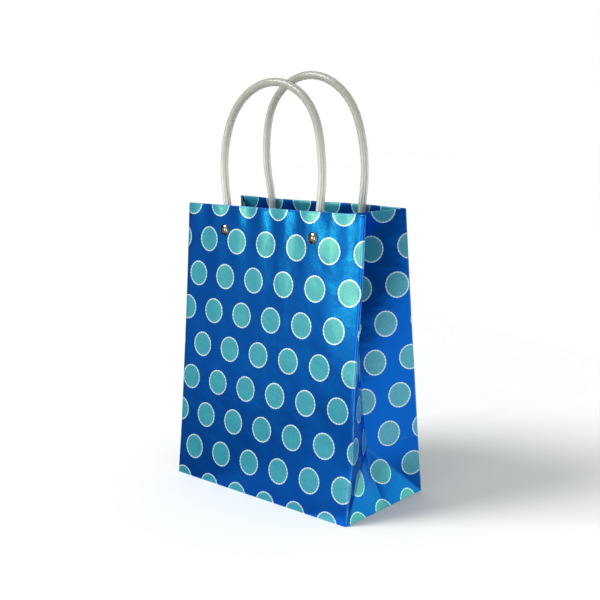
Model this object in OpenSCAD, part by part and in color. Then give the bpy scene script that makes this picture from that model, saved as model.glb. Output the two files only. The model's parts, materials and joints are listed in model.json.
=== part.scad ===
// Gift bag of film-laminated paper with two clear tube handles.
// Millimetres. X runs to the right, Y from front to back, Z up.
// The origin is the middle of the base, at floor height.

/* [Bag] */
// Width of the front and back panels
bag_w = 180; // [150:1:230]
// Depth of the base from front to back
bag_d = 93; // [80:1:110]
// Height of the panels, measured up their slope
bag_h = 222; // [190:1:260]
// Inward lean of the front panel, degrees
front_lean = 5.8; // [4:0.1:7]
// Inward lean of the back panel, degrees
back_lean = 3.7; // [3:0.1:7]
// Thickness of the laminated paper
paper_t = 0.4; // [0.3:0.05:0.5]

/* [Mouth] */
// Depth of the hem that is turned over inside the mouth
hem_h = 35; // [30:1:45]
// Thickness of the card strip inside each panel's hem
stiffener_t = 0.8; // [0.5:0.1:1]
// Height of the card strip
stiffener_h = 30; // [26:1:30]

/* [Base] */
// Thickness of the loose card that stiffens the base
board_t = 1.5; // [1:0.1:2]
// How far the front and back base flaps reach past the middle
flap_overlap = 12; // [8:1:20]
// Length of the side base flaps
side_flap_l = 44; // [30:1:50]
// Width of the glued tab that closes the paper into a ring
seam_w = 14; // [10:1:18]

/* [Handles] */
// Outer diameter of the handle tube
tube_d = 6; // [5:0.5:7]
// Bore of the handle tube
tube_bore = 4; // [3:0.5:4]
// Distance of each rivet from the middle of the panel
rivet_x = 45.5; // [40:0.5:48]
// Distance of each rivet below the rim
rivet_drop = 19.2; // [17:0.1:22]
// Height of the bending point of each leg above the rim
pivot_rise = 5; // [5:0.5:7]
// Radius of the round top of a handle
loop_r = 47.8; // [46:0.1:50]
// How much larger the radius of each leg's gentle bow is
leg_bow = 62.5; // [50:0.5:80]
// Height of the top of the front handle above the rim
front_rise = 92.3; // [90:0.1:98]
// Height of the top of the back handle above the rim
back_rise = 96.7; // [90:0.1:98]

/* [Rivets] */
// Diameter of the domed rivet head
cap_d = 9; // [6:0.1:9]
// Height of the domed rivet head
cap_h = 2; // [1.2:0.1:2.2]
// Diameter of the rivet shank
shank_d = 3; // [2.5:0.1:3.2]
// Thickness of the washer behind the tube
washer_t = 0.8; // [0.6:0.1:1]

/* [Hidden] */
$fn = 48;

foil_colour = [0.02, 0.27, 0.60];
card_colour = [0.82, 0.80, 0.75];
tube_colour = [0.86, 0.88, 0.90];
metal_colour = [0.75, 0.75, 0.77];

// Air between two layers that are pressed together
layer_gap = 0.05;
// Distance that a sheet stops short of its crease
crease_gap = 0.6;
// Distance that the hems stop short of the corner creases
corner_gap = 3;
// Distance from a panel's middle layer to where a gusset begins
gusset_gap = 1.2;
// Distance that the corners of a gusset facet are drawn in
facet_gap = 0.8;
// Clearance around a rivet shank
shank_clear = 0.1;
// Clearance between a turning handle leg and its riveted end
leg_clear = 1;
// Length of tube below its rivet
tube_tail = 8;
// Diameter and thickness of the spread end of a rivet
peen_d = 4.6;
peen_t = 0.6;
// Distance of the seam tab from the corner crease
seam_inset = 2.5;
// How much the base flaps narrow towards their free edges
flap_taper = 8;
// Space between the base board and the walls
board_clear = 2.5;
// Cut across each corner of the base board
board_chamfer = 3;

// The round top of a handle meets each leg in a direction of 7 up
// and 24 across from the middle of the top, where both arcs agree
join_across = 24 / 25;
join_up = 7 / 25;
join = atan2(join_up, join_across);
leg_r = loop_r + leg_bow;
leg_x = -leg_bow * join_across;

// The bottom crease of each panel runs through [+-crease_y, crease_z]
crease_y = bag_d / 2 - paper_t / 2;
crease_z = paper_t / 2;

// Layers inside each panel, measured inward from its middle
stiffener_y = paper_t / 2 + layer_gap;
hem_y = stiffener_y + stiffener_t + layer_gap;
tube_y = hem_y + paper_t + layer_gap + tube_d / 2;
washer_y = tube_y + tube_d / 2 + layer_gap;
peen_y = washer_y + washer_t + layer_gap;

// Layers in the base, measured up from the floor
back_flap_z = paper_t + layer_gap;
side_flap_z = 2 * (paper_t + layer_gap);
board_z = 3 * (paper_t + layer_gap);

// A gusset folds in like a letter V: its two halves keep their
// width while the panels lean together, so the crease moves inward.
gusset_half = bag_d / 2;
function half_gap(v) = gusset_half - v * (sin(front_lean) + sin(back_lean)) / 2;
function fold_depth(v) = sqrt(pow(gusset_half, 2) - pow(half_gap(v), 2));
function fold_y(v) = v * (sin(front_lean) - sin(back_lean)) / 2;
apex_depth = fold_depth(gusset_half);
apex_z = sqrt(pow(gusset_half, 2) - pow(apex_depth, 2));
fold_rise = sqrt(pow(bag_h - gusset_half, 2) - pow(fold_depth(bag_h) - apex_depth, 2));

// Corners of the right gusset; side is -1 at the front, 1 at the back
function lean(side) = side < 0 ? front_lean : back_lean;
function edge_y(side, v) = crease_y - v * sin(lean(side)) - gusset_gap * cos(lean(side));
function edge_z(side, v) = crease_z + v * cos(lean(side)) - gusset_gap * sin(lean(side));
function edge_point(side, v) = [bag_w / 2, side * edge_y(side, v), edge_z(side, v)];
function foot_point(side) = [bag_w / 2, side * (crease_y - gusset_gap), 0];
fold_apex = [bag_w / 2 - apex_depth, fold_y(gusset_half), apex_z];
fold_top = [bag_w / 2 - fold_depth(bag_h), fold_y(bag_h), apex_z + fold_rise];

function half_outline(side) = [
    fold_apex,
    fold_top,
    edge_point(side, bag_h),
    edge_point(side, gusset_half),
    foot_point(side)
];
function along(a, b, distance) = a + distance * (b - a) / norm(b - a);
function hem_outline(side) = [
    fold_top,
    edge_point(side, bag_h),
    edge_point(side, bag_h - hem_h),
    along(fold_top, fold_apex, hem_h)
];
foot_outline = [fold_apex, foot_point(-1), foot_point(1)];

// Direction from a gusset half towards the inside of the bag, level
function inward(side) =
    let (across = fold_top - edge_point(side, bag_h))
    let (normal = [-abs(across[1]), side * abs(across[0]), 0])
    normal / norm(normal);
foot_inward = [-gusset_half / apex_z, 0, 0];

function centre(points) =
    [for (axis = [0:2]) [for (p = points) p[axis]] * [for (p = points) 1]] / len(points);
function drawn_in(points, distance) =
    let (middle = centre(points))
    [for (p = points) along(p, middle, distance)];

// A thin facet: an outline and the same outline moved by shift
module facet(outline, shift) {
    count = len(outline);
    points = concat(outline, [for (p = outline) p + shift]);
    near = [for (i = [1:count - 2]) [0, i, i + 1]];
    far = [for (i = [1:count - 2]) [count, count + i + 1, count + i]];
    rim = [for (i = [0:count - 1])
        let (next = (i + 1) % count)
        [i, i + count, next + count, next]];
    polyhedron(points, concat(near, far, rim));
}

// Mirrors the facet's faces for an outline that runs the other way
module facet_reversed(outline, shift) {
    facet([for (i = [0:len(outline) - 1]) outline[(len(outline) - i) % len(outline)]], shift);
}

module oriented_facet(side, outline, shift) {
    if (side < 0) facet_reversed(outline, shift);
    else facet(outline, shift);
}

module on_left() {
    mirror([1, 0, 0]) children();
}

// A panel's own frame: X right, Y inward, Z up the slope from the crease
module on_front() {
    translate([0, -crease_y, crease_z]) rotate([-front_lean, 0, 0]) children();
}

module on_back() {
    mirror([0, 1, 0]) translate([0, -crease_y, crease_z]) rotate([-back_lean, 0, 0]) children();
}

// Places children on the line of a rivet, with Z pointing inward
module at_rivet(side) {
    translate([side * rivet_x, 0, bag_h - rivet_drop]) rotate([-90, 0, 0]) children();
}

module rivet_holes() {
    for (side = [-1, 1])
        at_rivet(side)
            translate([0, 0, -tube_d])
                cylinder(d = shank_d + 2 * shank_clear, h = 4 * tube_d);
}

module panel_sheet() {
    difference() {
        translate([-bag_w / 2, -paper_t / 2, crease_gap])
            cube([bag_w, paper_t, bag_h - crease_gap]);
        rivet_holes();
    }
}

// The hem comes over the rim and hangs down behind the card strip
module hem_sheet() {
    hem_w = bag_w - 2 * corner_gap;
    difference() {
        union() {
            translate([-hem_w / 2, hem_y, bag_h - hem_h])
                cube([hem_w, paper_t, hem_h]);
            translate([-hem_w / 2, paper_t / 2, bag_h - paper_t])
                cube([hem_w, hem_y, paper_t]);
        }
        rivet_holes();
    }
}

module stiffener_strip() {
    strip_w = bag_w - 2 * corner_gap;
    difference() {
        translate([-strip_w / 2, stiffener_y, bag_h - paper_t - layer_gap - stiffener_h])
            cube([strip_w, stiffener_t, stiffener_h]);
        rivet_holes();
    }
}

module tube_ring() {
    difference() {
        circle(d = tube_d);
        circle(d = tube_bore);
    }
}

// Depth of a handle's bending points below the middle of a leg's bow
function pivot_depth(rise) = rise - loop_r - leg_bow * join_up - pivot_rise;
// Sideways place of a handle leg at its bending point
function pivot_x(rise) = leg_x + sqrt(pow(leg_r, 2) - pow(pivot_depth(rise), 2));

// The riveted end of a handle leg; side is -1 for the left leg
module tube_end(side, rise) {
    run = [pivot_x(rise) - rivet_x, rivet_drop + pivot_rise];
    tilt = atan2(run[0], run[1]);
    reach = norm(run) - tube_d / 2 - leg_clear;
    difference() {
        translate([side * rivet_x, tube_y, bag_h - rivet_drop])
            rotate([0, side * tilt, 0])
                translate([0, 0, -tube_tail])
                    linear_extrude(tube_tail + reach) tube_ring();
        rivet_holes();
    }
}

// The right half of a handle above its bending point: half of the
// round top and one bowed leg, cut off square at the middle
module half_loop(rise) {
    foot = asin(pivot_depth(rise) / leg_r);
    intersection() {
        rotate([0, 0, join]) {
            rotate_extrude(angle = 90)
                translate([loop_r, 0]) tube_ring();
            translate([-leg_bow, 0, 0])
                mirror([0, 1, 0])
                    rotate_extrude(angle = join + foot)
                        translate([leg_r, 0]) tube_ring();
        }
        translate([0, -leg_r, -tube_d]) cube([leg_r, 2 * leg_r, 2 * tube_d]);
    }
}

module handle_loop(rise) {
    translate([0, tube_y, bag_h + rise - loop_r])
        rotate([90, 0, 0])
            for (side = [0, 1])
                mirror([side, 0, 0]) half_loop(rise);
}

// Domed head outside, shank through all layers, spread end inside
module rivet(side) {
    dome_r = (pow(cap_d / 2, 2) + pow(cap_h, 2)) / (2 * cap_h);
    at_rivet(side) {
        translate([0, 0, -paper_t / 2]) {
            intersection() {
                translate([0, 0, dome_r - cap_h]) sphere(r = dome_r);
                translate([0, 0, -cap_h]) cylinder(d = 2 * cap_d, h = cap_h);
            }
        }
        translate([0, 0, -paper_t / 2])
            cylinder(d = shank_d, h = peen_y + peen_t + paper_t / 2);
        translate([0, 0, peen_y]) cylinder(d = peen_d, h = peen_t);
    }
}

module washer(side) {
    at_rivet(side)
        translate([0, 0, washer_y])
            difference() {
                cylinder(d = cap_d, h = washer_t);
                translate([0, 0, -washer_t])
                    cylinder(d = shank_d + 2 * shank_clear, h = 3 * washer_t);
            }
}

// Outline of the front base flap, seen from above
module flap_plan() {
    root = bag_w / 2 - crease_gap;
    tip = root - flap_taper;
    polygon([
        [-root, -crease_y + crease_gap],
        [root, -crease_y + crease_gap],
        [tip, flap_overlap],
        [-tip, flap_overlap]
    ]);
}

// Outline of the right side base flap, seen from above
module side_flap_plan() {
    root = bag_w / 2 - 2 * crease_gap;
    half_l = crease_y - 2 * crease_gap;
    polygon([
        [root, -half_l],
        [root, half_l],
        [root - side_flap_l, half_l - flap_taper],
        [root - side_flap_l, -half_l + flap_taper]
    ]);
}

module side_flap() {
    translate([0, 0, side_flap_z]) linear_extrude(paper_t) side_flap_plan();
}

module gusset_half_sheet(side) {
    oriented_facet(side, drawn_in(half_outline(side), facet_gap), paper_t * inward(side));
}

module gusset_hem(side) {
    shift = paper_t * inward(side);
    translate(1.25 * shift)
        oriented_facet(side, drawn_in(hem_outline(side), 2 * facet_gap), shift);
}

module gusset_foot() {
    facet(drawn_in(foot_outline, facet_gap), paper_t * foot_inward);
}

module base_board() {
    half_w = bag_w / 2 - board_clear;
    half_d = bag_d / 2 - board_clear;
    cut = board_chamfer;
    color(card_colour)
        translate([0, 0, board_z])
            linear_extrude(board_t)
                polygon([
                    [-half_w + cut, -half_d], [half_w - cut, -half_d],
                    [half_w, -half_d + cut], [half_w, half_d - cut],
                    [half_w - cut, half_d], [-half_w + cut, half_d],
                    [-half_w, half_d - cut], [-half_w, -half_d + cut]
                ]);
}

module front_flap() {
    color(foil_colour) linear_extrude(paper_t) flap_plan();
}

// The back flap steps up where it lies on the front flap
module back_flap() {
    step_y = flap_overlap + crease_gap;
    color(foil_colour)
        intersection() {
            mirror([0, 1, 0]) linear_extrude(4 * paper_t) flap_plan();
            rotate([90, 0, 90])
                translate([0, 0, -bag_w / 2])
                    linear_extrude(bag_w)
                        polygon([
                            [bag_d / 2, 0],
                            [bag_d / 2, paper_t],
                            [step_y + paper_t, paper_t],
                            [step_y + paper_t, back_flap_z + paper_t],
                            [-flap_overlap, back_flap_z + paper_t],
                            [-flap_overlap, back_flap_z],
                            [step_y, back_flap_z],
                            [step_y, 0]
                        ]);
        }
}

module left_flap() {
    color(foil_colour) on_left() side_flap();
}

module right_flap() {
    color(foil_colour) side_flap();
}

module left_gusset_foot() {
    color(foil_colour) on_left() gusset_foot();
}

module left_gusset_front() {
    color(foil_colour) on_left() gusset_half_sheet(-1);
}

module left_gusset_rear() {
    color(foil_colour) on_left() gusset_half_sheet(1);
}

module right_gusset_foot() {
    color(foil_colour) gusset_foot();
}

module right_gusset_front() {
    color(foil_colour) gusset_half_sheet(-1);
}

module right_gusset_rear() {
    color(foil_colour) gusset_half_sheet(1);
}

module left_hem_front() {
    color(foil_colour) on_left() gusset_hem(-1);
}

module left_hem_rear() {
    color(foil_colour) on_left() gusset_hem(1);
}

module right_hem_front() {
    color(foil_colour) gusset_hem(-1);
}

module right_hem_rear() {
    color(foil_colour) gusset_hem(1);
}

module front_panel() {
    color(foil_colour) on_front() panel_sheet();
}

module front_hem() {
    color(foil_colour) on_front() hem_sheet();
}

module front_stiffener() {
    color(card_colour) on_front() stiffener_strip();
}

module front_left_tube_end() {
    color(tube_colour) on_front() tube_end(-1, front_rise);
}

module front_right_tube_end() {
    color(tube_colour) on_front() tube_end(1, front_rise);
}

module front_left_rivet() {
    color(metal_colour) on_front() rivet(-1);
}

module front_right_rivet() {
    color(metal_colour) on_front() rivet(1);
}

module front_left_washer() {
    color(metal_colour) on_front() washer(-1);
}

module front_right_washer() {
    color(metal_colour) on_front() washer(1);
}

module back_panel() {
    color(foil_colour) on_back() panel_sheet();
}

module back_hem() {
    color(foil_colour) on_back() hem_sheet();
}

module back_stiffener() {
    color(card_colour) on_back() stiffener_strip();
}

// The tab is glued inside the back panel, beside the left gusset
module side_seam() {
    seam_h = bag_h - hem_h - 4 * crease_gap;
    color(foil_colour)
        on_back()
            translate([-bag_w / 2 + seam_inset, stiffener_y, 2 * crease_gap])
                cube([seam_w, paper_t, seam_h]);
}

module back_left_tube_end() {
    color(tube_colour) on_back() tube_end(-1, back_rise);
}

module back_right_tube_end() {
    color(tube_colour) on_back() tube_end(1, back_rise);
}

module back_left_rivet() {
    color(metal_colour) on_back() rivet(-1);
}

module back_right_rivet() {
    color(metal_colour) on_back() rivet(1);
}

module back_left_washer() {
    color(metal_colour) on_back() washer(-1);
}

module back_right_washer() {
    color(metal_colour) on_back() washer(1);
}

module front_handle() {
    color(tube_colour) on_front() handle_loop(front_rise);
}

module back_handle() {
    color(tube_colour) on_back() handle_loop(back_rise);
}

base_board();
front_flap();
back_flap();
left_flap();
right_flap();
left_gusset_foot();
left_gusset_front();
left_gusset_rear();
right_gusset_foot();
right_gusset_front();
right_gusset_rear();
left_hem_front();
left_hem_rear();
right_hem_front();
right_hem_rear();
front_panel();
front_hem();
front_stiffener();
front_left_tube_end();
front_right_tube_end();
front_left_rivet();
front_right_rivet();
front_left_washer();
front_right_washer();
back_panel();
back_hem();
back_stiffener();
side_seam();
back_left_tube_end();
back_right_tube_end();
back_left_rivet();
back_right_rivet();
back_left_washer();
back_right_washer();
front_handle();
back_handle();
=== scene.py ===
import json
import math

import bpy
import numpy as np
from mathutils import Matrix, Vector, noise


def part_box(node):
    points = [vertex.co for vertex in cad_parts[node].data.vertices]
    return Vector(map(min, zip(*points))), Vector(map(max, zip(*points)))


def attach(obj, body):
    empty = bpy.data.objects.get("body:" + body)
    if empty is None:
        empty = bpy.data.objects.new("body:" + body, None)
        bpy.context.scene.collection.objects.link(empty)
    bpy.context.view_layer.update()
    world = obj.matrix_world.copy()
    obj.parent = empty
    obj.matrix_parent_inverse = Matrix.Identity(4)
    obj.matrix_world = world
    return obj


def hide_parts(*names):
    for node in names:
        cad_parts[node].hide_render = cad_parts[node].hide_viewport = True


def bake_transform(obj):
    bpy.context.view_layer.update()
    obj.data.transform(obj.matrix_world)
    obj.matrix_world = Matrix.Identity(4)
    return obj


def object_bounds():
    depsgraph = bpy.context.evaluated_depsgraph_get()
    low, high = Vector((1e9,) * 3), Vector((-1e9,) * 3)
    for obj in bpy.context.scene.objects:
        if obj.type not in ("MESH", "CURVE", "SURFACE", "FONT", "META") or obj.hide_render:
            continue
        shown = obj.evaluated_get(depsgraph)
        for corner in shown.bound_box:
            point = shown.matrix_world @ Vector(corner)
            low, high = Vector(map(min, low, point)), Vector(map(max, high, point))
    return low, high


# A gift bag of printed film-covered paper with clear tube handles. Lengths are in metres.
# Each thin sheet follows the flat sheet that it is folded from, so the print runs on round corners.

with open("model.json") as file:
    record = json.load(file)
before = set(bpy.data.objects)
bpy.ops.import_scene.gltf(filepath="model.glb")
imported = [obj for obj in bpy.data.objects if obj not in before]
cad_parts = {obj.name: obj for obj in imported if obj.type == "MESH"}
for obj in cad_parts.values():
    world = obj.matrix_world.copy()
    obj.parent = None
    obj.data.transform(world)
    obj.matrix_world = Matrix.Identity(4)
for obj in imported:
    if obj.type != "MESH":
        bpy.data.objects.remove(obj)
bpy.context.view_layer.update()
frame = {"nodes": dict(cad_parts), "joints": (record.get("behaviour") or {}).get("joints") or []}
MM = 0.001

# ---------------------------------------------------------------- sizes

JOINTS = {joint["name"]: joint for joint in frame["joints"]}
PAPER = 0.4 * MM
HALF_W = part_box("front_panel")[1].x
HALF_D = JOINTS["back_wall_fold"]["pos_m"][1] + PAPER / 2
HEM = 35 * MM
STIFFENER = 0.8 * MM
STIFFENER_TALL = 30 * MM
LAYER_GAP = 0.05 * MM
HEM_GAP = 3 * MM
HEM_FOLD = (STIFFENER + 2 * LAYER_GAP + PAPER) / 2
TUBE_R = 3 * MM
BORE_R = 2 * MM
TUBE_IN = PAPER + 2 * LAYER_GAP + STIFFENER + PAPER / 2 + LAYER_GAP + TUBE_R
WASHER_IN = TUBE_IN + TUBE_R + LAYER_GAP
WASHER_T = 0.8 * MM
PEEN_IN = WASHER_IN + WASHER_T + LAYER_GAP
CORNER_IN = 1.2 * MM
CORNER_RUN = 3 * MM
EDGE_X = HALF_W - PAPER / 2
SEAM_CLEAR = 1.2 * MM
COLUMN_STEP = 2 * MM
RIVET_BELOW_RIM = 19.2 * MM
PIVOT_ABOVE_RIM = 5 * MM


def smooth(t):
    t = min(1.0, max(0.0, t))
    return t * t * (3 - 2 * t)


def hump(t, middle, width):
    return math.exp(-(((t - middle) / width) ** 2))


class Wall:
    """A wide wall. Its own directions are x to the right, inward, and up the slope from its crease."""

    def __init__(self, name, side):
        fold = JOINTS[f"{name}_wall_fold"]
        bend = JOINTS[f"{name}_handle_bend"]
        self.name = name
        self.side = side
        self.body = f"{name}_wall"
        self.loop = f"{name}_loop"
        self.lean = math.radians(fold["range_deg"][1])
        self.crease_y = abs(fold["pos_m"][1])
        self.crease_z = fold["pos_m"][2]
        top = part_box(f"{name}_panel")[1].z
        sine = math.sin(self.lean)
        self.height = (top - self.crease_z - PAPER / 2 * sine) / math.cos(self.lean)
        rivet_low, rivet_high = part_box(f"{name}_right_rivet")
        self.rivet_x = (rivet_low.x + rivet_high.x) / 2
        self.rivet_up = self.height - RIVET_BELOW_RIM
        self.pivot = Vector(bend["pos_m"])
        self.pivot_up = self.height + PIVOT_ABOVE_RIM
        loop_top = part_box(f"{name}_handle")[1].z - TUBE_R
        loop_up = (loop_top - self.crease_z + TUBE_IN * sine) / math.cos(self.lean)
        self.rise = loop_up - self.height

    def point(self, x, inward, up):
        y = self.crease_y - inward * math.cos(self.lean) - up * math.sin(self.lean)
        z = self.crease_z - inward * math.sin(self.lean) + up * math.cos(self.lean)
        return Vector((x, self.side * y, z))

    def inward(self):
        return self.point(0, 1, 0) - self.point(0, 0, 0)

    def relief(self, x, up):
        """How far the paper stands inward of its flat place."""
        share = up / self.height
        shape = front_relief(x, share) if self.side < 0 else back_relief(x, share)
        shape += 0.35 * MM * noise.noise(Vector((x / 0.045, self.side * 3.1, up / 0.07)))
        for centre in (-self.rivet_x, self.rivet_x):
            away = math.hypot(x - centre, up - self.rivet_up)
            shape *= 1 - hump(away, 0, 13 * MM)
        return shape * smooth(share / 0.12)

    def edge(self, hand, up):
        """The corner crease where the wall meets a gusset; hand is -1 left, 1 right."""
        x = hand * EDGE_X
        return self.point(x, CORNER_IN + self.relief(x, up), up)


def rim_ripples(x, share, wave, phase):
    """Upright waves that die out below the rim."""
    near_rim = math.exp(-(1 - share) / 0.16)
    return math.cos(2 * math.pi * (x - phase) / wave) * near_rim


def front_relief(x, share):
    """The front bows in, and its upper right corner is turned in."""
    bow = 1.3 * MM * math.sin(math.pi * share)
    ripples = 0.42 * MM * rim_ripples(x, share, 24 * MM, 4 * MM)
    right = smooth((x - 40 * MM) / (50 * MM))
    turned_in = 2.4 * MM * right * right * smooth((share - 0.3) / 0.55)
    wander = 1.8 * hump(share, 0.22, 0.12) - 1.1 * hump(share, 0.5, 0.2)
    left = smooth((-x - 50 * MM) / (40 * MM))
    return bow + ripples + turned_in + wander * right * MM + 0.8 * MM * left * share


def back_relief(x, share):
    """The back bows in and twists towards the rim: the right edge goes in and the left edge out."""
    bow = 1.0 * MM * math.sin(math.pi * share)
    ripples = 0.2 * MM * rim_ripples(x, share, 30 * MM, 10 * MM)
    corner = smooth((abs(x) - 42 * MM) / (48 * MM))
    twist = math.copysign(5.2 * MM, x) * corner * share ** 1.5
    return bow + ripples + twist


FRONT = Wall("front", -1)
BACK = Wall("back", 1)
WALLS = (FRONT, BACK)

# ---------------------------------------------------------------- node helper

SHEET_MAP = "Sheet"
MIX_COLOUR_INPUTS = (0, 6, 7)
MIX_COLOUR_OUTPUT = 2


class Nodes:
    """Short calls for building one material."""

    def __init__(self, name):
        self.material = bpy.data.materials.new(name)
        self.material.use_nodes = True
        self.tree = self.material.node_tree
        self.shader = self.tree.nodes["Principled BSDF"]

    def put(self, socket, value):
        if isinstance(value, bpy.types.NodeSocket):
            self.tree.links.new(value, socket)
        elif value is not None:
            socket.default_value = value

    def set(self, **values):
        for name, value in values.items():
            self.put(self.shader.inputs[name.replace("_", " ")], value)

    def math(self, operation, a, b=None, c=None):
        node = self.tree.nodes.new("ShaderNodeMath")
        node.operation = operation
        for socket, value in zip(node.inputs, (a, b, c)):
            self.put(socket, value)
        return node.outputs[0]

    def away(self, value, middle):
        return self.math("ABSOLUTE", self.math("SUBTRACT", value, middle))

    def range(self, value, low, high, to_low=0.0, to_high=1.0):
        node = self.tree.nodes.new("ShaderNodeMapRange")
        node.interpolation_type = "SMOOTHSTEP"
        for socket, given in zip(node.inputs, (value, low, high, to_low, to_high)):
            self.put(socket, given)
        return node.outputs[0]

    def mix(self, factor, a, b):
        node = self.tree.nodes.new("ShaderNodeMix")
        node.data_type = "RGBA"
        for index, value in zip(MIX_COLOUR_INPUTS, (factor, a, b)):
            self.put(node.inputs[index], value)
        return node.outputs[MIX_COLOUR_OUTPUT]

    def noise(self, vector, scale, detail=3.0, roughness=0.5):
        node = self.tree.nodes.new("ShaderNodeTexNoise")
        self.put(node.inputs["Vector"], vector)
        node.inputs["Scale"].default_value = scale
        node.inputs["Detail"].default_value = detail
        node.inputs["Roughness"].default_value = roughness
        return node.outputs["Fac"]

    def split(self, vector):
        node = self.tree.nodes.new("ShaderNodeSeparateXYZ")
        self.put(node.inputs[0], vector)
        return node.outputs

    def join(self, x, y, z):
        node = self.tree.nodes.new("ShaderNodeCombineXYZ")
        for socket, value in zip(node.inputs, (x, y, z)):
            self.put(socket, value)
        return node.outputs[0]

    def object_place(self):
        return self.tree.nodes.new("ShaderNodeTexCoord").outputs["Object"]

    def sheet_place(self):
        node = self.tree.nodes.new("ShaderNodeUVMap")
        node.uv_map = SHEET_MAP
        return node.outputs[0]

    def bump(self, height, distance, normal=None):
        node = self.tree.nodes.new("ShaderNodeBump")
        node.inputs["Distance"].default_value = distance
        self.put(node.inputs["Height"], height)
        self.put(node.inputs["Normal"], normal)
        return node.outputs[0]


# ---------------------------------------------------------------- materials

DOT_ANCHOR = (84.5 * MM, 109.8 * MM)
DOT_PITCH = 31.01 * MM
ROW_SHIFT = 11.65 * MM
ROW_RISE = 28.24 * MM
RING_R = 9.4 * MM
RING_HALF = 0.55 * MM
BEAD_DEPTH = 0.05 * MM
BEADS = 22
INNER_LINE_R = 0.86 * RING_R
HATCH_PITCH = 1.3 * MM

BLUE_DEEP = (0.0, 0.074, 0.48, 1)
BLUE_LIGHT = (0.0, 0.125, 0.58, 1)
TEAL_DEEP = (0.004, 0.27, 0.41, 1)
TEAL_LIGHT = (0.02, 0.39, 0.53, 1)
SILVER = (0.78, 0.90, 0.93, 1)
SILVER_SHADE = (0.38, 0.60, 0.70, 1)
# Lighter blue along the creases: partly rubbed print and partly a painted highlight of the bent film.
CREASE_WEAR_AND_HIGHLIGHT = (0.12, 0.40, 0.66, 1)
BLUE_GLOSS = (0.02, 0.62, 1.0, 1)
INK_GLOSS = (1.0, 0.98, 0.90, 1)
BLUE_METAL = 0.78
INK_METAL = 0.50

PAPER_TINT = (0.80, 0.81, 0.82)
CARD_DARK = (0.40, 0.37, 0.32, 1)
CARD_PALE = (0.62, 0.59, 0.53, 1)
CARD_CLOUD = (0.50, 0.46, 0.40, 1)
CARD_SPECK = (0.20, 0.17, 0.13, 1)
# The tube is one clear plastic: its crown is painted grey as painted shade and its legs near white as
# painted light.
CROWN_SHADE_DARK = (0.60, 0.60, 0.56, 1)
CROWN_SHADE_PALE = (0.68, 0.68, 0.64, 1)
LIT_LEG_DARK = (0.94, 0.94, 0.92, 1)
LIT_LEG_PALE = (0.98, 0.98, 0.97, 1)
# Grey for the painted shade lines where the bore shows through the tube's wall.
BORE_SHADE_GREY = (0.46, 0.46, 0.44, 1)
TUBE_BODY = (0.78, 0.78, 0.74, 1)
NICKEL_DARK = (0.26, 0.235, 0.21, 1)
NICKEL_PALE = (0.38, 0.36, 0.34, 1)
FLOOR_DARK = (0.84, 0.84, 0.84, 1)
FLOOR_PALE = (0.88, 0.88, 0.88, 1)

# Angles around the tube, in radians, of the painted shade lines where the bore shows through: the middle
# of each pair of lines, and from there to a line.
BORE_SHADE_ANGLE = 2.39
BORE_SHADE_SPREAD = 0.34


def dot_lattice(nodes, u, v):
    """The distance and the direction from the nearest dot's middle."""
    across = nodes.math("SUBTRACT", u, DOT_ANCHOR[0])
    up = nodes.math("SUBTRACT", v, DOT_ANCHOR[1])
    row = nodes.math("ROUND", nodes.math("DIVIDE", up, ROW_RISE))
    shifted = nodes.math("SUBTRACT", across, nodes.math("MULTIPLY", row, ROW_SHIFT))
    column = nodes.math("ROUND", nodes.math("DIVIDE", shifted, DOT_PITCH))
    dx = nodes.math("SUBTRACT", shifted, nodes.math("MULTIPLY", column, DOT_PITCH))
    dy = nodes.math("SUBTRACT", up, nodes.math("MULTIPLY", row, ROW_RISE))
    square = nodes.math("ADD", nodes.math("MULTIPLY", dx, dx), nodes.math("MULTIPLY", dy, dy))
    return nodes.math("SQRT", square), nodes.math("ARCTAN2", dy, dx)


def fold_marks(nodes, u, v):
    """Marks along the rim and corner creases of the flat sheet, then along its gusset creases."""
    right = nodes.away(u, 2 * HALF_W + HALF_D)
    left = nodes.away(u, -HALF_D)
    middle = nodes.math("MINIMUM", right, left)
    corner = nodes.away(middle, HALF_D)
    rim = nodes.away(v, FRONT.height)
    in_gusset = nodes.math("LESS_THAN", middle, HALF_D)
    low = nodes.math("LESS_THAN", v, HALF_D)
    outside = nodes.math("SUBTRACT", 1.0, in_gusset)
    level = nodes.math("ADD", nodes.away(v, HALF_D), outside)
    high = nodes.math("SUBTRACT", 1.0, nodes.math("MULTIPLY", low, in_gusset))
    slope = nodes.away(nodes.math("ADD", middle, v), HALF_D)
    slope = nodes.math("ADD", nodes.math("MULTIPLY", slope, 0.7), high)
    sharp = nodes.math("MINIMUM", corner, rim)
    soft = nodes.math("MINIMUM", nodes.math("MINIMUM", level, slope), middle)
    return nodes.range(sharp, 0.8 * MM, 0.1 * MM), nodes.range(soft, 0.9 * MM, 0.1 * MM)


def dot_marks(nodes, u, v):
    """The dots, their rings, the paler line inside each ring, and the beads around it."""
    distance, angle = dot_lattice(nodes, u, v)
    beads = nodes.math("SINE", nodes.math("MULTIPLY", angle, float(BEADS)))
    half = nodes.math("MULTIPLY_ADD", beads, BEAD_DEPTH, RING_HALF)
    core = nodes.math("SUBTRACT", half, 0.22 * MM)
    ring = nodes.range(nodes.away(distance, RING_R), half, core)
    dot = nodes.range(distance, RING_R, RING_R - 0.3 * MM)
    inner_line = nodes.range(nodes.away(distance, INNER_LINE_R), 0.45 * MM, 0.1 * MM)
    return dot, ring, inner_line, beads


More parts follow.
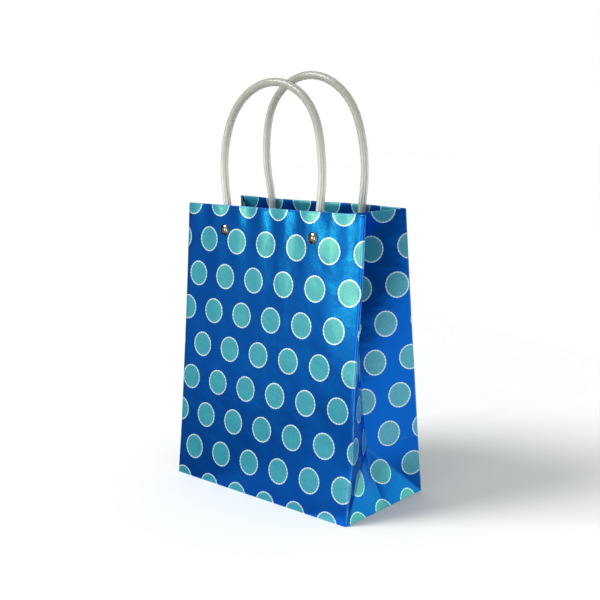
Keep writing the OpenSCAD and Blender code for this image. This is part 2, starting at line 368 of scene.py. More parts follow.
def teal_ink(nodes, place, u, v, inner_line):
    """A fine slanted hatch over a mottle."""
    slant = nodes.math("MULTIPLY", nodes.math("ADD", u, v), 2 * math.pi / HATCH_PITCH)
    hatch = nodes.math("MULTIPLY_ADD", nodes.math("SINE", slant), 0.22, 0.5)
    mottle = nodes.noise(place, 420.0, 4.0, 0.65)
    pale = nodes.math("MULTIPLY_ADD", mottle, 1.8, nodes.math("SUBTRACT", hatch, 0.9))
    pale = nodes.math("MULTIPLY_ADD", inner_line, 0.25, pale)
    return nodes.mix(pale, TEAL_DEEP, TEAL_LIGHT)


def print_colour(nodes, place, u, v):
    """The film's colour with lighter crease lines, partly wear and partly painted highlight, and its
    inked parts, rings and soft creases as masks.
    """
    dot, ring, inner_line, beads = dot_marks(nodes, u, v)
    sharp_mark, soft_mark = fold_marks(nodes, u, v)
    blue = nodes.mix(nodes.noise(place, 22.0, 3.0), BLUE_DEEP, BLUE_LIGHT)
    teal = teal_ink(nodes, place, u, v, inner_line)
    silver = nodes.mix(nodes.math("MULTIPLY_ADD", beads, 0.4, 0.6), SILVER_SHADE, SILVER)
    colour = nodes.mix(ring, nodes.mix(dot, blue, teal), silver)
    # The crease lines turn lighter in patches: partly wear and partly a painted highlight along the
    # bends.
    crease_patches = nodes.range(nodes.noise(place, 90.0, 4.0), 0.35, 0.65, 0.25, 0.8)
    wear_and_highlight = nodes.math("MULTIPLY", sharp_mark, crease_patches)
    wear_and_highlight = nodes.math("MAXIMUM", wear_and_highlight, nodes.math("MULTIPLY", soft_mark, 0.12))
    return nodes.mix(wear_and_highlight, colour, CREASE_WEAR_AND_HIGHLIGHT), nodes.math("MAXIMUM", ring, dot), ring, soft_mark


def add_print(nodes, u, v):
    """The printed film, worked out from its place on the flat sheet."""
    place = nodes.join(u, v, 0.0)
    colour, inked, ring, soft_mark = print_colour(nodes, place, u, v)
    smear = nodes.noise(place, 45.0, 4.0, 0.6)
    roughness = nodes.math("MULTIPLY_ADD", smear, 0.16, 0.17)
    roughness = nodes.math("MULTIPLY_ADD", inked, 0.07, roughness)
    wrinkle = nodes.bump(nodes.noise(place, 60.0, 2.0, 0.45), 0.55 * MM)
    grain = nodes.bump(nodes.noise(place, 700.0, 3.0, 0.6), 0.018 * MM, wrinkle)
    raised = nodes.bump(nodes.math("MULTIPLY_ADD", ring, 0.6, inked), 0.03 * MM, grain)
    creased = nodes.bump(soft_mark, 0.12 * MM, raised)
    nodes.set(Base_Color=colour, Roughness=roughness, Normal=creased)
    nodes.set(Metallic=nodes.math("MULTIPLY_ADD", inked, INK_METAL - BLUE_METAL, BLUE_METAL))
    nodes.set(Specular_Tint=nodes.mix(inked, BLUE_GLOSS, INK_GLOSS))
    nodes.set(Coat_Weight=nodes.math("MULTIPLY_ADD", inked, 0.42, 0.08))
    nodes.set(IOR=2.1, Coat_Roughness=0.24, Coat_IOR=1.5)


def make_foil():
    nodes = Nodes("foil_print")
    u, v, _ = nodes.split(nodes.sheet_place())
    add_print(nodes, u, v)
    return nodes.material


def make_flap_foil(name, across, up):
    """The print for a base flap. across and up give its place on the flat sheet from its place
    in the bag, each as (factor for x, factor for y, constant)."""
    nodes = Nodes(name)
    x, y, _ = nodes.split(nodes.object_place())

    def follow(rule):
        part = nodes.math("MULTIPLY_ADD", x, rule[0], rule[2])
        return nodes.math("MULTIPLY_ADD", y, rule[1], part)

    add_print(nodes, follow(across), follow(up))
    return nodes.material


def make_paper(name, tint):
    """The uncoated side of the sheet and its cut edges."""
    nodes = Nodes(name)
    place = nodes.object_place()
    fibres = nodes.noise(place, 900.0, 5.0, 0.7)
    clouds = nodes.noise(place, 35.0, 3.0)
    pale = nodes.math("MULTIPLY_ADD", fibres, 0.5, nodes.math("MULTIPLY", clouds, 0.5))
    dark = tuple(0.86 * part for part in tint)
    colour = nodes.mix(pale, dark + (1,), tint + (1,))
    nodes.set(Base_Color=colour, Roughness=nodes.range(fibres, 0.3, 0.7, 0.55, 0.75))
    nodes.set(Normal=nodes.bump(fibres, 0.04 * MM, nodes.bump(clouds, 0.3 * MM)))
    return nodes.material


def make_card():
    nodes = Nodes("grey_card")
    place = nodes.object_place()
    fibres = nodes.noise(place, 420.0, 6.0, 0.75)
    specks = nodes.range(nodes.noise(place, 1500.0, 2.0), 0.66, 0.72)
    clouds = nodes.noise(place, 30.0, 3.0)
    board = nodes.mix(fibres, CARD_DARK, CARD_PALE)
    board = nodes.mix(nodes.math("MULTIPLY", clouds, 0.3), board, CARD_CLOUD)
    board = nodes.mix(nodes.math("MULTIPLY", specks, 0.5), board, CARD_SPECK)
    nodes.set(Base_Color=board, Roughness=nodes.range(fibres, 0.3, 0.7, 0.7, 0.9))
    nodes.set(Normal=nodes.bump(fibres, 0.06 * MM))
    return nodes.material


def tube_colour(nodes, place):
    """Near-white legs as painted light and a grey crown as painted shade on one clear plastic, with
    painted shade lines, strongest on the legs, where the bore shows through.
    """
    cloud = nodes.noise(place, 140.0, 4.0, 0.6)
    around, along, _ = nodes.split(nodes.sheet_place())
    leg = nodes.range(nodes.away(along, 0.5), 0.12, 0.34)
    # Painted shade on the crown and painted light on the legs.
    crown = nodes.mix(cloud, CROWN_SHADE_DARK, CROWN_SHADE_PALE)
    clear = nodes.mix(cloud, LIT_LEG_DARK, LIT_LEG_PALE)
    # Painted shade lines where the bore shows through the wall.
    off_pair = nodes.away(nodes.math("ABSOLUTE", around), BORE_SHADE_ANGLE)
    line = nodes.range(nodes.away(off_pair, BORE_SHADE_SPREAD), 0.16, 0.02)
    line = nodes.math("MULTIPLY", line, nodes.math("MULTIPLY_ADD", leg, 0.75, 0.20))
    return nodes.mix(line, nodes.mix(leg, crown, clear), BORE_SHADE_GREY)


def fill_tube(nodes):
    """The plastic takes a little light away inside."""
    absorb = nodes.tree.nodes.new("ShaderNodeVolumeAbsorption")
    absorb.inputs["Color"].default_value = TUBE_BODY
    absorb.inputs["Density"].default_value = 220.0
    output = nodes.tree.nodes["Material Output"]
    nodes.tree.links.new(absorb.outputs[0], output.inputs["Volume"])


def make_tube():
    """Soft clear plastic, a little cloudy."""
    nodes = Nodes("clear_tube")
    place = nodes.object_place()
    streak = nodes.noise(place, 160.0, 2.0)
    nodes.set(Base_Color=tube_colour(nodes, place), Roughness=nodes.range(streak, 0.3, 0.7, 0.17, 0.20))
    nodes.set(Transmission_Weight=0.66, IOR=1.32, Coat_Weight=0.25, Coat_Roughness=0.16)
    nodes.set(Normal=nodes.bump(nodes.noise(place, 120.0, 1.0), 0.006 * MM))
    fill_tube(nodes)
    return nodes.material


def make_metal():
    nodes = Nodes("nickel")
    place = nodes.object_place()
    scuffs = nodes.noise(place, 1800.0, 4.0, 0.7)
    tarnish = nodes.noise(place, 300.0, 3.0)
    nodes.set(Base_Color=nodes.mix(tarnish, NICKEL_DARK, NICKEL_PALE), Metallic=1.0)
    nodes.set(Roughness=nodes.range(scuffs, 0.3, 0.7, 0.04, 0.12))
    nodes.set(Normal=nodes.bump(scuffs, 0.012 * MM))
    return nodes.material


def make_floor_paint():
    nodes = Nodes("pale_floor")
    place = nodes.object_place()
    clouds = nodes.noise(place, 1.3, 3.0)
    nodes.set(Base_Color=nodes.mix(clouds, FLOOR_DARK, FLOOR_PALE))
    nodes.set(Roughness=nodes.range(nodes.noise(place, 60.0), 0.3, 0.7, 0.75, 0.9))
    nodes.set(Normal=nodes.bump(nodes.noise(place, 500.0), 0.02 * MM))
    return nodes.material


FOIL = make_foil()
PAPER_BACK = make_paper("paper_back", PAPER_TINT)
CARD = make_card()
TUBE = make_tube()
METAL = make_metal()
PRINTED = (FOIL, PAPER_BACK)

# ---------------------------------------------------------------- mesh helpers


def new_piece(name, points, faces, materials, slots=None):
    mesh = bpy.data.meshes.new(name)
    mesh.from_pydata([tuple(p) for p in points], [], faces)
    for material in materials:
        mesh.materials.append(material)
    if slots is not None:
        mesh.polygons.foreach_set("material_index", slots)
    mesh.shade_smooth()
    mesh.set_sharp_from_angle(angle=math.radians(28))
    piece = bpy.data.objects.new(name, mesh)
    bpy.context.scene.collection.objects.link(piece)
    return piece


def grid_normals(grid):
    """The direction across the sheet at each point of a grid."""
    along = np.gradient(grid, axis=0)
    across = np.gradient(grid, axis=1)
    normals = np.cross(across, along)
    return normals / np.linalg.norm(normals, axis=2, keepdims=True)


def halves(loop, mirrored):
    """A cell cut along its diagonal."""
    a, b, c, d = loop
    return ((a, b, c), (a, c, d)) if mirrored else ((a, b, d), (b, c, d))


def sheet_rim(rows, columns):
    """The outer points of a grid in order, as pairs of neighbours."""
    last = (rows - 1) * columns
    rim = list(range(columns)) + [i * columns + columns - 1 for i in range(1, rows)]
    rim += [last + j for j in range(columns - 2, -1, -1)]
    rim += [i * columns for i in range(rows - 2, 0, -1)]
    return zip(rim, rim[1:] + rim[:1])


def sheet_faces(rows, columns, mirrored, cut):
    """Both sides of a sheet and its edges, and the material slot of each face."""
    count = rows * columns
    faces, slots = [], []
    for i in range(rows - 1):
        for j in range(columns - 1):
            a = i * columns + j
            loop = (a, a + 1, a + columns + 1, a + columns)
            diagonal = cut and cut(i, columns - 2 - j if mirrored else j)
            for part in halves(loop, mirrored) if diagonal else (loop,):
                faces += [part, tuple(k + count for k in reversed(part))]
                slots += [0, 1]
    for a, b in sheet_rim(rows, columns):
        faces.append((b, a, a + count, b + count))
        slots.append(1 if min(a, b) >= count - columns else 0)
    return faces, slots


def lay_flat(piece, places):
    """Writes each corner's place on the flat sheet into the sheet map."""
    flat = np.tile(np.array(places, float).reshape(-1, 2), (2, 1))
    corners = np.empty(len(piece.data.loops), int)
    piece.data.loops.foreach_get("vertex_index", corners)
    layer = piece.data.uv_layers.new(name=SHEET_MAP)
    layer.data.foreach_set("uv", flat[corners].astype(np.float32).ravel())


def make_sheet(name, grid, outside, places=None, thickness=PAPER, materials=PRINTED, cut=None):
    """A thin sheet around a grid of middle points. Its first face looks towards outside.
    places are the grid's places on the flat sheet, and cut(row, column) says which cells have a
    diagonal. The last row ends in a cut edge, and the other edges are creases."""
    grid = np.array(grid, float)
    normals = grid_normals(grid)
    mirrored = (normals.reshape(-1, 3) @ np.array(outside)).sum() < 0
    if mirrored:
        grid = grid[:, ::-1]
        normals = -normals[:, ::-1]
        places = None if places is None else np.array(places, float)[:, ::-1]
    near = (grid + normals * thickness / 2).reshape(-1, 3)
    far = (grid - normals * thickness / 2).reshape(-1, 3)
    faces, slots = sheet_faces(*grid.shape[:2], mirrored, cut)
    piece = new_piece(name, np.vstack([near, far]), faces, materials, slots)
    if places is not None:
        lay_flat(piece, places)
    return piece


def steps(low, high, size):
    """Even steps from low to high, each about as long as size."""
    count = max(1, round((high - low) / size))
    return [low + (high - low) * k / count for k in range(count + 1)]


def ring_points(centre, radius, first, second, count):
    for k in range(count):
        angle = 2 * math.pi * k / count
        yield centre + radius * (first * math.cos(angle) + second * math.sin(angle))


def band(lower, upper, count):
    """The faces between two rings, either of which may be one point on the axis."""
    for k in range(count):
        after = (k + 1) % count
        if len(lower) == 1:
            yield lower[0], upper[after], upper[k]
        elif len(upper) == 1:
            yield lower[k], lower[after], upper[0]
        else:
            yield lower[k], lower[after], upper[after], upper[k]


def turn(outline, centre, axis, name, material, count=40):
    """A solid of revolution. outline holds (radius, distance along the axis) from end to end,
    and comes back to its start where the solid is a ring."""
    side = axis.orthogonal().normalized()
    other = axis.cross(side).normalized()
    closed = outline[0] == outline[-1]
    points, rings = [], []
    for radius, along in outline[:-1] if closed else outline:
        middle = centre + axis * along
        ring = list(ring_points(middle, radius, side, other, count)) if radius else [middle]
        rings.append(range(len(points), len(points) + len(ring)))
        points += ring
    if closed:
        rings.append(rings[0])
    faces = [face for pair in zip(rings, rings[1:]) for face in band(*pair, count)]
    return new_piece(name, points, faces, (material,))


def arc(centre, radius, start, end, count):
    """Points along an arc between two angles in degrees."""
    for k in range(count + 1):
        angle = math.radians(start + (end - start) * k / count)
        yield centre[0] + radius * math.cos(angle), centre[1] + radius * math.sin(angle)


# ---------------------------------------------------------------- the printed sheet

GUSSET_CELLS = 24
GUSSET_FOLD = 0.3 * MM
GUSSET_TUCK = 12 * MM
ROW_STEP = 2.2 * MM
LEAN_SUM = (math.sin(FRONT.lean) + math.sin(BACK.lean)) / 2
LEAN_GAP = (math.sin(FRONT.lean) - math.sin(BACK.lean)) / 2


def wall_columns():
    """(x, how far the corner curves inward, flat length from the middle), left to right."""
    flat = HALF_W - CORNER_RUN - PAPER / 2
    corner = []
    length = flat
    before = (flat, 0.0)
    for k in range(1, 5):
        angle = math.pi / 8 * k
        here = (flat + CORNER_RUN * math.sin(angle), CORNER_IN * (1 - math.cos(angle)))
        length += math.dist(before, here)
        corner.append((*here, length))
        before = here
    middle = [(x, 0.0, x) for x in steps(-flat, flat, COLUMN_STEP)]
    left = [(-x, inward, -length) for x, inward, length in reversed(corner)]
    return left + middle + corner


def folded_rows(height, fold, hem, size):
    """(up, how far inward, flat length, share of the hem), from the bottom up, over the rim and down."""
    turn_up = height - PAPER / 2 - fold
    rows = [(up, 0.0, up, 0.0) for up in steps(0, turn_up, size)]
    for k in range(1, 7):
        angle = math.pi * k / 6
        rise = turn_up + fold * math.sin(angle)
        rows.append((rise, fold * (1 - math.cos(angle)), turn_up + fold * angle, k / 6))
    length = turn_up + fold * math.pi
    for down in steps(0, hem - fold, size)[1:]:
        rows.append((turn_up - down, 2 * fold, length + down, 1.0))
    return rows


def wall_sheet(wall):
    """One thin sheet that goes up the wall, over the rim and down inside."""
    start = 0.0 if wall.side < 0 else 2 * (HALF_W + HALF_D)
    grid, places = [], []
    for up, inward, length, hemmed in folded_rows(wall.height, HEM_FOLD, HEM, ROW_STEP):
        narrow = 1 - hemmed * HEM_GAP / HALF_W
        line, flat = [], []
        for wide, corner, across in wall_columns():
            x = wide * narrow
            stand = corner * (1 - hemmed) + wall.relief(x, up)
            line.append(wall.point(x, inward + stand, up))
            flat.append((start + HALF_W - wall.side * across, length))
        grid.append(line)
        places.append(flat)
    piece = make_sheet(f"{wall.name}_sheet", grid, -wall.inward(), places)
    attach(piece, wall.body)
    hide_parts(f"{wall.name}_panel", f"{wall.name}_hem")


def crease_place(up):
    """Where the middle crease on the right lies in x and y, up along the flat sheet."""
    gap = HALF_D - up * LEAN_SUM
    return HALF_W - math.sqrt(HALF_D ** 2 - gap ** 2), up * LEAN_GAP


def fold_line(up):
    """The gusset's middle crease on the right, at a height measured along the flat sheet."""
    apex = crease_place(HALF_D)
    top = crease_place(FRONT.height)
    low = Vector((*apex, math.sqrt(HALF_D ** 2 - (HALF_W - apex[0]) ** 2)))
    run = FRONT.height - HALF_D
    high = Vector((*top, low.z + math.sqrt(run ** 2 - (top[0] - apex[0]) ** 2)))
    return low.lerp(high, (up - HALF_D) / run)


def on_hand(point, hand):
    return Vector((hand * point.x, point.y, point.z))


def gusset_point(hand, wall, share, up):
    """A place on a gusset half: share is 0 on its middle crease and 1 at the wall."""
    apex = on_hand(fold_line(HALF_D), hand)
    foot = Vector((hand * EDGE_X, wall.edge(hand, 0).y, PAPER / 2))
    base = Vector((hand * EDGE_X, 0, PAPER / 2))
    if up >= HALF_D:
        return on_hand(fold_line(up), hand).lerp(wall.edge(hand, up), share)
    rise = up / HALF_D
    if rise + share >= 1:
        side = wall.edge(hand, HALF_D)
        return apex * (1 - share) + side * (share + rise - 1) + foot * (1 - rise)
    return base * (1 - share - rise) + foot * share + apex * rise


def gusset_normal(hand, wall):
    """Level direction out of the bag from a gusset half."""
    top = FRONT.height
    across = gusset_point(hand, wall, 1, top) - gusset_point(hand, wall, 0, top)
    normal = Vector((hand * abs(across.y), wall.side * -abs(across.x), 0))
    return normal.normalized()


def gusset_relief(hand, wall, share, up):
    """How far a gusset half stands out of its facets. Below the apex its middle is tucked in."""
    seed = Vector((share * 1.1 + hand, wall.side * 2.3, up / 0.06))
    across = math.sin(math.pi * share)
    upper = smooth((up - HALF_D * (1 - share)) / (25 * MM))
    soft = 1.5 * MM * noise.noise(seed) * across * upper
    belly = 1.2 * MM * across * upper * math.sin(math.pi * min(1, up / FRONT.height))
    rise = up / HALF_D
    below = max(0.0, 1 - share - rise)
    return soft + belly - GUSSET_TUCK * rise * below


def gusset_rows(wall):
    """(up, how far inward, flat length): even rows to the apex, then up and over the rim."""
    rows = [(up, 0.0, up) for up in steps(0, HALF_D, HALF_D / GUSSET_CELLS)]
    for up, inward, length, _ in folded_rows(wall.height, GUSSET_FOLD, HEM, ROW_STEP):
        if length > HALF_D + 1 * MM:
            rows.append((up, inward, length))
    return rows


def gusset_half(hand, wall):
    """One thin sheet from the base edge to the folded rim; hand is -1 left, 1 right."""
    side_name = "left" if hand < 0 else "right"
    half_name = "front" if wall.side < 0 else "rear"
    outward = gusset_normal(hand, wall)
    sideways = Vector((hand * 1.25, 0, 0))
    corner_u = corner_place(hand, wall)
    middle_u = -HALF_D if hand < 0 else 2 * HALF_W + HALF_D
    grid, places = [], []
    for up, inward, length in gusset_rows(wall):
        line, flat = [], []
        for k in range(GUSSET_CELLS + 1):
            share = k / GUSSET_CELLS
            push = outward.lerp(sideways, (1 - share) ** 4)
            stand = gusset_relief(hand, wall, share, up) - inward
            line.append(gusset_point(hand, wall, share, up) + push * stand)
            flat.append((middle_u + (corner_u - middle_u) * share, length))
        grid.append(line)
        places.append(flat)

    def cut(row, column):
        return row + column + 1 == GUSSET_CELLS

    name = f"{side_name}_gusset_{half_name}_sheet"
    piece = make_sheet(name, grid, outward, places, cut=cut)
    across_fold(piece, hand, wall)
    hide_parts(f"{side_name}_gusset_{half_name}", f"{side_name}_gusset_foot",
                f"{side_name}_hem_{half_name}")


def corner_place(hand, wall):
    """Where a corner crease lies across the flat sheet."""
    if hand < 0:
        return 0.0 if wall.side < 0 else -2 * HALF_D
    return 2 * HALF_W if wall.side < 0 else 2 * (HALF_W + HALF_D)


def across_fold(piece, hand, wall):
    """Bakes the piece's place into its mesh. The corner crease's ends are worked out, but nothing uses
    them.
    """
    corner_low = wall.point(hand * EDGE_X, CORNER_IN, 0)
    corner_high = wall.point(hand * EDGE_X, CORNER_IN, wall.height)
    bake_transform(piece)


# ---------------------------------------------------------------- card and tabs


def wall_strip(wall, name, x_range, up_range, inward, thickness, materials):
    """A strip on the inside of a wall that follows its relief."""
    columns = steps(*x_range, COLUMN_STEP)
    grid = []
    for up in steps(*up_range, 2.5 * MM):
        grid.append([wall.point(x, inward + wall.relief(x, up), up) for x in columns])
    piece = make_sheet(name, grid, -wall.inward(), thickness=thickness, materials=materials)
    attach(piece, wall.body)
    return piece


def stiffener(wall):
    top = wall.height - PAPER - LAYER_GAP
    inward = PAPER / 2 + LAYER_GAP + STIFFENER / 2
    half = HALF_W - HEM_GAP
    piece = wall_strip(wall, f"{wall.name}_stiffener_card", (-half, half), (top - STIFFENER_TALL, top),
                       inward, STIFFENER, (CARD, CARD))
    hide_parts(f"{wall.name}_stiffener")


def seam_tab():
    low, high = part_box("side_seam")
    up_range = (SEAM_CLEAR, BACK.height - HEM - 2 * SEAM_CLEAR)
    piece = wall_strip(BACK, "side_seam_tab", (low.x, high.x), up_range,
                       PAPER + LAYER_GAP, PAPER, (PAPER_BACK, PAPER_BACK))
    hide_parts("side_seam")


# ---------------------------------------------------------------- handles

LOOP_R = 47.8 * MM
LEG_BOW = 62.5 * MM
JOIN = (24 / 25, 7 / 25)
TAIL = 8 * MM
TUBE_SIDES = 48

# How the loops stand in the photo: degrees inward, (right, inward), and up at the crown.
LOOP_SET = {"front": -1.0, "back": -0.9}
LOOP_SLIDE = {"front": (-1.5 * MM, -2.4 * MM), "back": (2.0 * MM, 0.0)}
LOOP_LIFT = {"front": 0.4 * MM, "back": 0.3 * MM}


def half_path(wall):
    """The right half of a handle from the bottom to the top of the loop, as (x, up)."""
    leg_r = LOOP_R + LEG_BOW
    centre_up = wall.height + wall.rise - LOOP_R
    leg_centre = (-LEG_BOW * JOIN[0], centre_up - LEG_BOW * JOIN[1])
    low = math.degrees(math.asin((wall.pivot_up - leg_centre[1]) / leg_r))
    join = math.degrees(math.atan2(JOIN[1], JOIN[0]))
    leg = list(arc(leg_centre, leg_r, low, join, 30))
    crown = list(arc((0, centre_up), LOOP_R, join, 90, 34))
    rivet = Vector((wall.rivet_x, wall.rivet_up))
    pivot = Vector(leg[0])
    direction = (pivot - rivet).normalized()
    length = (pivot - rivet).length
    straight = [tuple(rivet + direction * d) for d in steps(-TAIL, length, 1.5 * MM)]
    return straight[:-1] + leg + crown[1:]


def tube_path(wall):
    """Both halves in one row, smoothed where the arcs meet."""
    right = half_path(wall)
    left = [(-x, up) for x, up in right]
    path = np.array(left + right[-2::-1])
    for _ in range(12):
        path[1:-1] = path[1:-1] * 0.5 + (path[:-2] + path[2:]) * 0.25
    return path


def loop_place(wall, x, up):
    """Where a point of the handle stands, with the set, slide and lift of its loop."""
    slide_right, slide_in = LOOP_SLIDE[wall.name]
    above = max(0.0, up - wall.pivot_up)
    x += slide_right * smooth((up - wall.rivet_up) / (30 * MM))
    inward = TUBE_IN + slide_in * smooth((up - wall.height) / (50 * MM))
    inward += above * math.tan(math.radians(LOOP_SET[wall.name]))
    return wall.point(x, inward, up + LOOP_LIFT[wall.name] * smooth(above / wall.rise))


def handle(wall):
    centres = [loop_place(wall, x, up) for x, up in tube_path(wall)]
    piece = hollow_tube(f"{wall.name}_tube", centres, -wall.side * wall.inward())
    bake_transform(piece)
    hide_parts(f"{wall.name}_handle", f"{wall.name}_left_tube_end", f"{wall.name}_right_tube_end")


def hollow_tube(name, centres, side):
    """A tube along centres. Its points go round from side, first outside and then in the bore."""
    points, faces, rings = [], [], []
    for k, centre in enumerate(centres):
        before = centres[max(0, k - 1)]
        after = centres[min(len(centres) - 1, k + 1)]
        tangent = (after - before).normalized()
        first = (side - tangent * side.dot(tangent)).normalized()
        second = tangent.cross(first)
        start = len(points)
        points += ring_points(centre, TUBE_R, first, second, TUBE_SIDES)
        points += ring_points(centre, BORE_R, first, second, TUBE_SIDES)
        middle = start + TUBE_SIDES
        rings.append((range(start, middle), range(middle, len(points))))
    for (outer, inner), (outer_next, inner_next) in zip(rings, rings[1:]):
        faces += band(outer, outer_next, TUBE_SIDES)
        faces += band(inner_next, inner, TUBE_SIDES)
    faces += band(*reversed(rings[0]), TUBE_SIDES)
    faces += band(*rings[-1], TUBE_SIDES)
    piece = new_piece(name, points, faces, (TUBE,))
    mark_around(piece, len(centres) - 1)
    return piece


def mark_around(piece, last):
    """Writes each corner's angle around the tube, from -pi to pi, and its share of the way along."""
    layer = piece.data.uv_layers.new(name=SHEET_MAP)
    for face in piece.data.polygons:
        corners = [(k, piece.data.loops[k].vertex_index) for k in face.loop_indices]
        places = [index % TUBE_SIDES for _, index in corners]
        wraps = max(places) - min(places) > 1
        start = max(places) if wraps else min(places)
        back = TUBE_SIDES if start >= TUBE_SIDES / 2 else 0
        for (k, index), place in zip(corners, places):
            turned = place - back + (TUBE_SIDES if place < start else 0)
            ring = index // (2 * TUBE_SIDES)
            layer.data[k].uv = (2 * math.pi * turned / TUBE_SIDES, ring / last)


# ---------------------------------------------------------------- rivets

CAP_R = (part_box("front_right_rivet")[1].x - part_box("front_right_rivet")[0].x) / 2
CAP_TALL = 2 * MM
CAP_ROLL = 0.35 * MM
SHANK_R = 1.5 * MM
PEEN_R = 2.3 * MM
PEEN_TALL = 0.6 * MM


def rivet_outline():
    """A domed cap with a rolled edge, the shank, and the peened end with a dent in it."""
    face = -PAPER / 2
    dome_r = CAP_R - CAP_ROLL
    dome_tall = CAP_TALL - CAP_ROLL
    outline = []
    for k in range(9):
        angle = math.pi / 2 * k / 8
        outline.append((dome_r * math.sin(angle), face - CAP_ROLL - dome_tall * math.cos(angle)))
    outline += list(arc((dome_r, face - CAP_ROLL), CAP_ROLL, -90, 90, 6))[1:-1]
    outline += [(SHANK_R, face), (SHANK_R, PEEN_IN)]
    for k in range(5):
        angle = math.pi / 2 * k / 4
        spread = (PEEN_R - SHANK_R) * math.cos(angle)
        outline.append((SHANK_R + spread, PEEN_IN + PEEN_TALL * math.sin(angle)))
    return outline + [(0.7 * MM, PEEN_IN + 0.35 * MM), (0.0, PEEN_IN + 0.3 * MM)]


def washer_outline():
    """A flat ring with bevelled edges."""
    inner, outer, bevel = SHANK_R + 0.1 * MM, CAP_R, 0.15 * MM
    low, high = WASHER_IN, WASHER_IN + WASHER_T
    return [(inner, low), (outer - bevel, low), (outer, low + bevel), (outer, high - bevel),
            (outer - bevel, high), (inner + bevel, high), (inner, high - bevel), (inner, low)]


def fastenings(wall):
    """A rivet and a washer at each end of the wall's handle."""
    for hand, side_name in ((-1, "left"), (1, "right")):
        centre = wall.point(hand * wall.rivet_x, 0, wall.rivet_up)
        name = f"{wall.name}_{side_name}"
        for outline, kind in ((rivet_outline(), "rivet"), (washer_outline(), "washer")):
            piece = turn(outline, centre, wall.inward(), f"{name}_{kind}_turned", METAL)
            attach(piece, wall.body)
            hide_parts(f"{name}_{kind}")


# ---------------------------------------------------------------- CAD nodes that stay


def dress(node, material):
    slots = frame["nodes"][node].material_slots
    if not slots:
        frame["nodes"][node].data.materials.append(material)
    for slot in slots:
        slot.material = material


def dress_base():
    """The board and the four flaps keep their CAD shapes. The print runs on from the walls."""
    dress("base_board", CARD)
    span = 2 * (HALF_W + HALF_D)
    dress("front_flap", make_flap_foil("front_flap_print", (1, 0, HALF_W), (0, -1, -HALF_D)))
    dress("back_flap", make_flap_foil("back_flap_print", (-1, 0, span + HALF_W), (0, 1, -HALF_D)))
    dress("right_flap", make_flap_foil("right_flap_print", (0, 1, 2 * HALF_W + HALF_D), (1, 0, -HALF_W)))
    dress("left_flap", make_flap_foil("left_flap_print", (0, -1, -HALF_D), (-1, 0, -HALF_W)))


# ---------------------------------------------------------------- stage

CAMERA_PLACE = (0.5254, -0.5693, 0.2963)
CAMERA_TURN = (-42.26, -10.88, -1.15)
CAMERA_LENS = 60.98
FLOOR_REACH = 6.0
FLOOR_CELLS = 12
WORLD_LIGHT = 0.62
KEY_PLACE = Vector((-1.3, -1.5, 1.7))
KEY_POWER = 2.75
KEY_SPREAD = 30
LAMP_AIM = Vector((0, 0, 0.12))
UP = Vector((0, 0, 1))


def look_along(obj, forward, up):
    forward, up = forward.normalized(), up.normalized()
    right = forward.cross(up).normalized()
    up = right.cross(forward)
    matrix = Matrix((right, up, -forward)).transposed().to_4x4()
    matrix.translation = obj.location
    obj.matrix_world = matrix


def make_camera():
    data = bpy.data.cameras.new("camera")
    data.sensor_width = 36
    data.lens = CAMERA_LENS
    camera = bpy.data.objects.new("camera", data)
    bpy.context.scene.collection.objects.link(camera)
    yaw, pitch, roll = (math.radians(angle) for angle in CAMERA_TURN)
    level = Vector((math.sin(yaw), math.cos(yaw), 0))
    forward = level * math.cos(pitch) + UP * math.sin(pitch)
    right = Vector((math.cos(yaw), -math.sin(yaw), 0))
    up = right.cross(forward)
    tilted = up * math.cos(roll) - right * math.sin(roll)
    camera.location = CAMERA_PLACE
    look_along(camera, forward, tilted)
    bpy.context.scene.camera = camera


def make_floor():
    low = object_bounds()[0]
    lines = [FLOOR_REACH * (2 * k / FLOOR_CELLS - 1) for k in range(FLOOR_CELLS + 1)]
    points = [(x, y, low.z) for y in lines for x in lines]
    wide = len(lines)
    faces = []
    for i in range(FLOOR_CELLS):
        for j in range(FLOOR_CELLS):
            a = i * wide + j
            faces.append((a, a + 1, a + wide + 1, a + wide))
    mesh = bpy.data.meshes.new("floor")
    mesh.from_pydata(points, [], faces)
    mesh.materials.append(make_floor_paint())
    floor = bpy.data.objects.new("floor", mesh)
    bpy.context.scene.collection.objects.link(floor)


def area_light(name, place, size, power, colour=(1.0, 1.0, 1.0)):
    data = bpy.data.lights.new(name, "AREA")
    data.shape = "RECTANGLE"
    data.size, data.size_y = size
    data.energy = power
    data.color = colour
    light = bpy.data.objects.new(name, data)
    bpy.context.scene.collection.objects.link(light)
    light.location = Vector(place)
    light.visible_transmission = False
    look_along(light, LAMP_AIM - light.location, UP)


def cloth_paint(name, shade):
    nodes = Nodes(name)
    cloth = nodes.noise(nodes.object_place(), 8.0)
    pale = tuple(1.3 * part for part in shade)
    nodes.set(Base_Color=nodes.mix(cloth, shade + (1,), pale + (1,)), Roughness=0.9)
    return nodes.material


def flag(name, place, size, shade, tip=0):
    """A studio card that only reflections see. It stands facing the bag, or with tip 90 lies flat as
    painted shadow on the floor.
    """
    across, up = size[0] / 2, size[1] / 2
    corners = [(-across, -up, 0), (across, -up, 0), (across, up, 0), (-across, up, 0)]
    mesh = bpy.data.meshes.new(name)
    mesh.from_pydata(corners, [], [(0, 1, 2, 3)])
    mesh.materials.append(cloth_paint(name, shade))
    card = bpy.data.objects.new(name, mesh)
    bpy.context.scene.collection.objects.link(card)
    card.location = Vector(place)
    look_along(card, Vector((-place[0], -place[1], 0)), UP)
    card.matrix_world = card.matrix_world @ Matrix.Rotation(math.radians(tip), 4, "X")
    card.visible_camera = False
    card.visible_shadow = False
    card.visible_diffuse = False
    card.visible_transmission = False


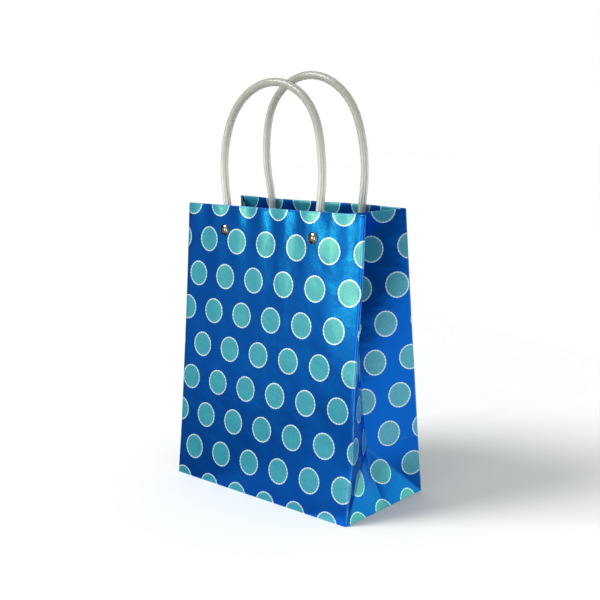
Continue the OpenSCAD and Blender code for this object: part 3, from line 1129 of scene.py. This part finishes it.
def make_world():
    """Plain white behind the object, and a softer white for everything that it lights."""
    world = bpy.data.worlds.new("studio")
    world.use_nodes = True
    tree = world.node_tree
    background = tree.nodes["Background"]
    background.inputs["Color"].default_value = (1.0, 1.0, 1.0, 1)
    path = tree.nodes.new("ShaderNodeLightPath")
    clear = tree.nodes.new("ShaderNodeMath")
    clear.operation = "MAXIMUM"
    tree.links.new(path.outputs["Is Camera Ray"], clear.inputs[0])
    tree.links.new(path.outputs["Is Transmission Ray"], clear.inputs[1])
    strength = tree.nodes.new("ShaderNodeMapRange")
    tree.links.new(clear.outputs[0], strength.inputs[0])
    strength.inputs["To Min"].default_value = WORLD_LIGHT
    strength.inputs["To Max"].default_value = 1.0
    tree.links.new(strength.outputs[0], background.inputs["Strength"])
    bpy.context.scene.world = world


def make_key():
    """A wide soft light from the front left, even over the whole floor."""
    data = bpy.data.lights.new("key", "SUN")
    data.energy = KEY_POWER
    data.angle = math.radians(KEY_SPREAD)
    key = bpy.data.objects.new("key", data)
    bpy.context.scene.collection.objects.link(key)
    key.location = KEY_PLACE
    key.visible_transmission = False
    look_along(key, -KEY_PLACE, UP)


def make_lamps():
    """Soft panels that give the film its reflections; the coloured ones tint them."""
    yellow = (1.0, 1.0, 0.28)
    green = (0.22, 1.0, 0.46)
    area_light("front_strip", (-0.80, -1.36, 0.40), (0.40, 0.40), 0.8, yellow)
    area_light("front_lamp", (-0.69, -1.22, 0.29), (0.08, 0.16), 1.1, yellow)
    area_light("back_panel", (0.98, 1.22, 0.34), (0.9, 0.6), 2.2, green)
    area_light("near_panel", (0.10, -1.15, 0.25), (0.3, 0.5), 1.6)


def make_flags():
    """Grey and black cards that the film, the tubes and the rivets reflect. The two lying on the floor
    are painted shadow: a darker floor in the reflections.
    """
    grey = (0.29, 0.29, 0.30)
    floor_shadow_grey = (0.22, 0.22, 0.23)
    dark = (0.06, 0.06, 0.065)
    black = (0.02, 0.016, 0.012)
    flag("front_card", (-0.77, -0.52, 0.37), (0.66, 0.72), grey)
    # Painted shadow: a dark card lying on the floor, seen only in reflections.
    flag("front_floor_shadow_card", (-0.57, -0.63, 0.0006), (1.0, 1.7), floor_shadow_grey, tip=90)
    flag("dark_card", (0.36, -0.42, 0.45), (0.5, 0.8), dark)
    flag("left_card", (-0.5, 0.15, 0.55), (1.0, 1.1), black)
    # Painted shadow as well, darkening the floor to the left in reflections.
    flag("left_floor_shadow_card", (-0.42, 0.13, 0.0007), (1.0, 0.8), black, tip=90)


# ---------------------------------------------------------------- build

bpy.context.scene.view_settings.view_transform = "Standard"
for wall in WALLS:
    wall_sheet(wall)
    stiffener(wall)
    handle(wall)
    fastenings(wall)
    for hand in (-1, 1):
        gusset_half(hand, wall)
seam_tab()
dress_base()
make_camera()
make_floor()
make_world()
make_key()
make_lamps()
make_flags()
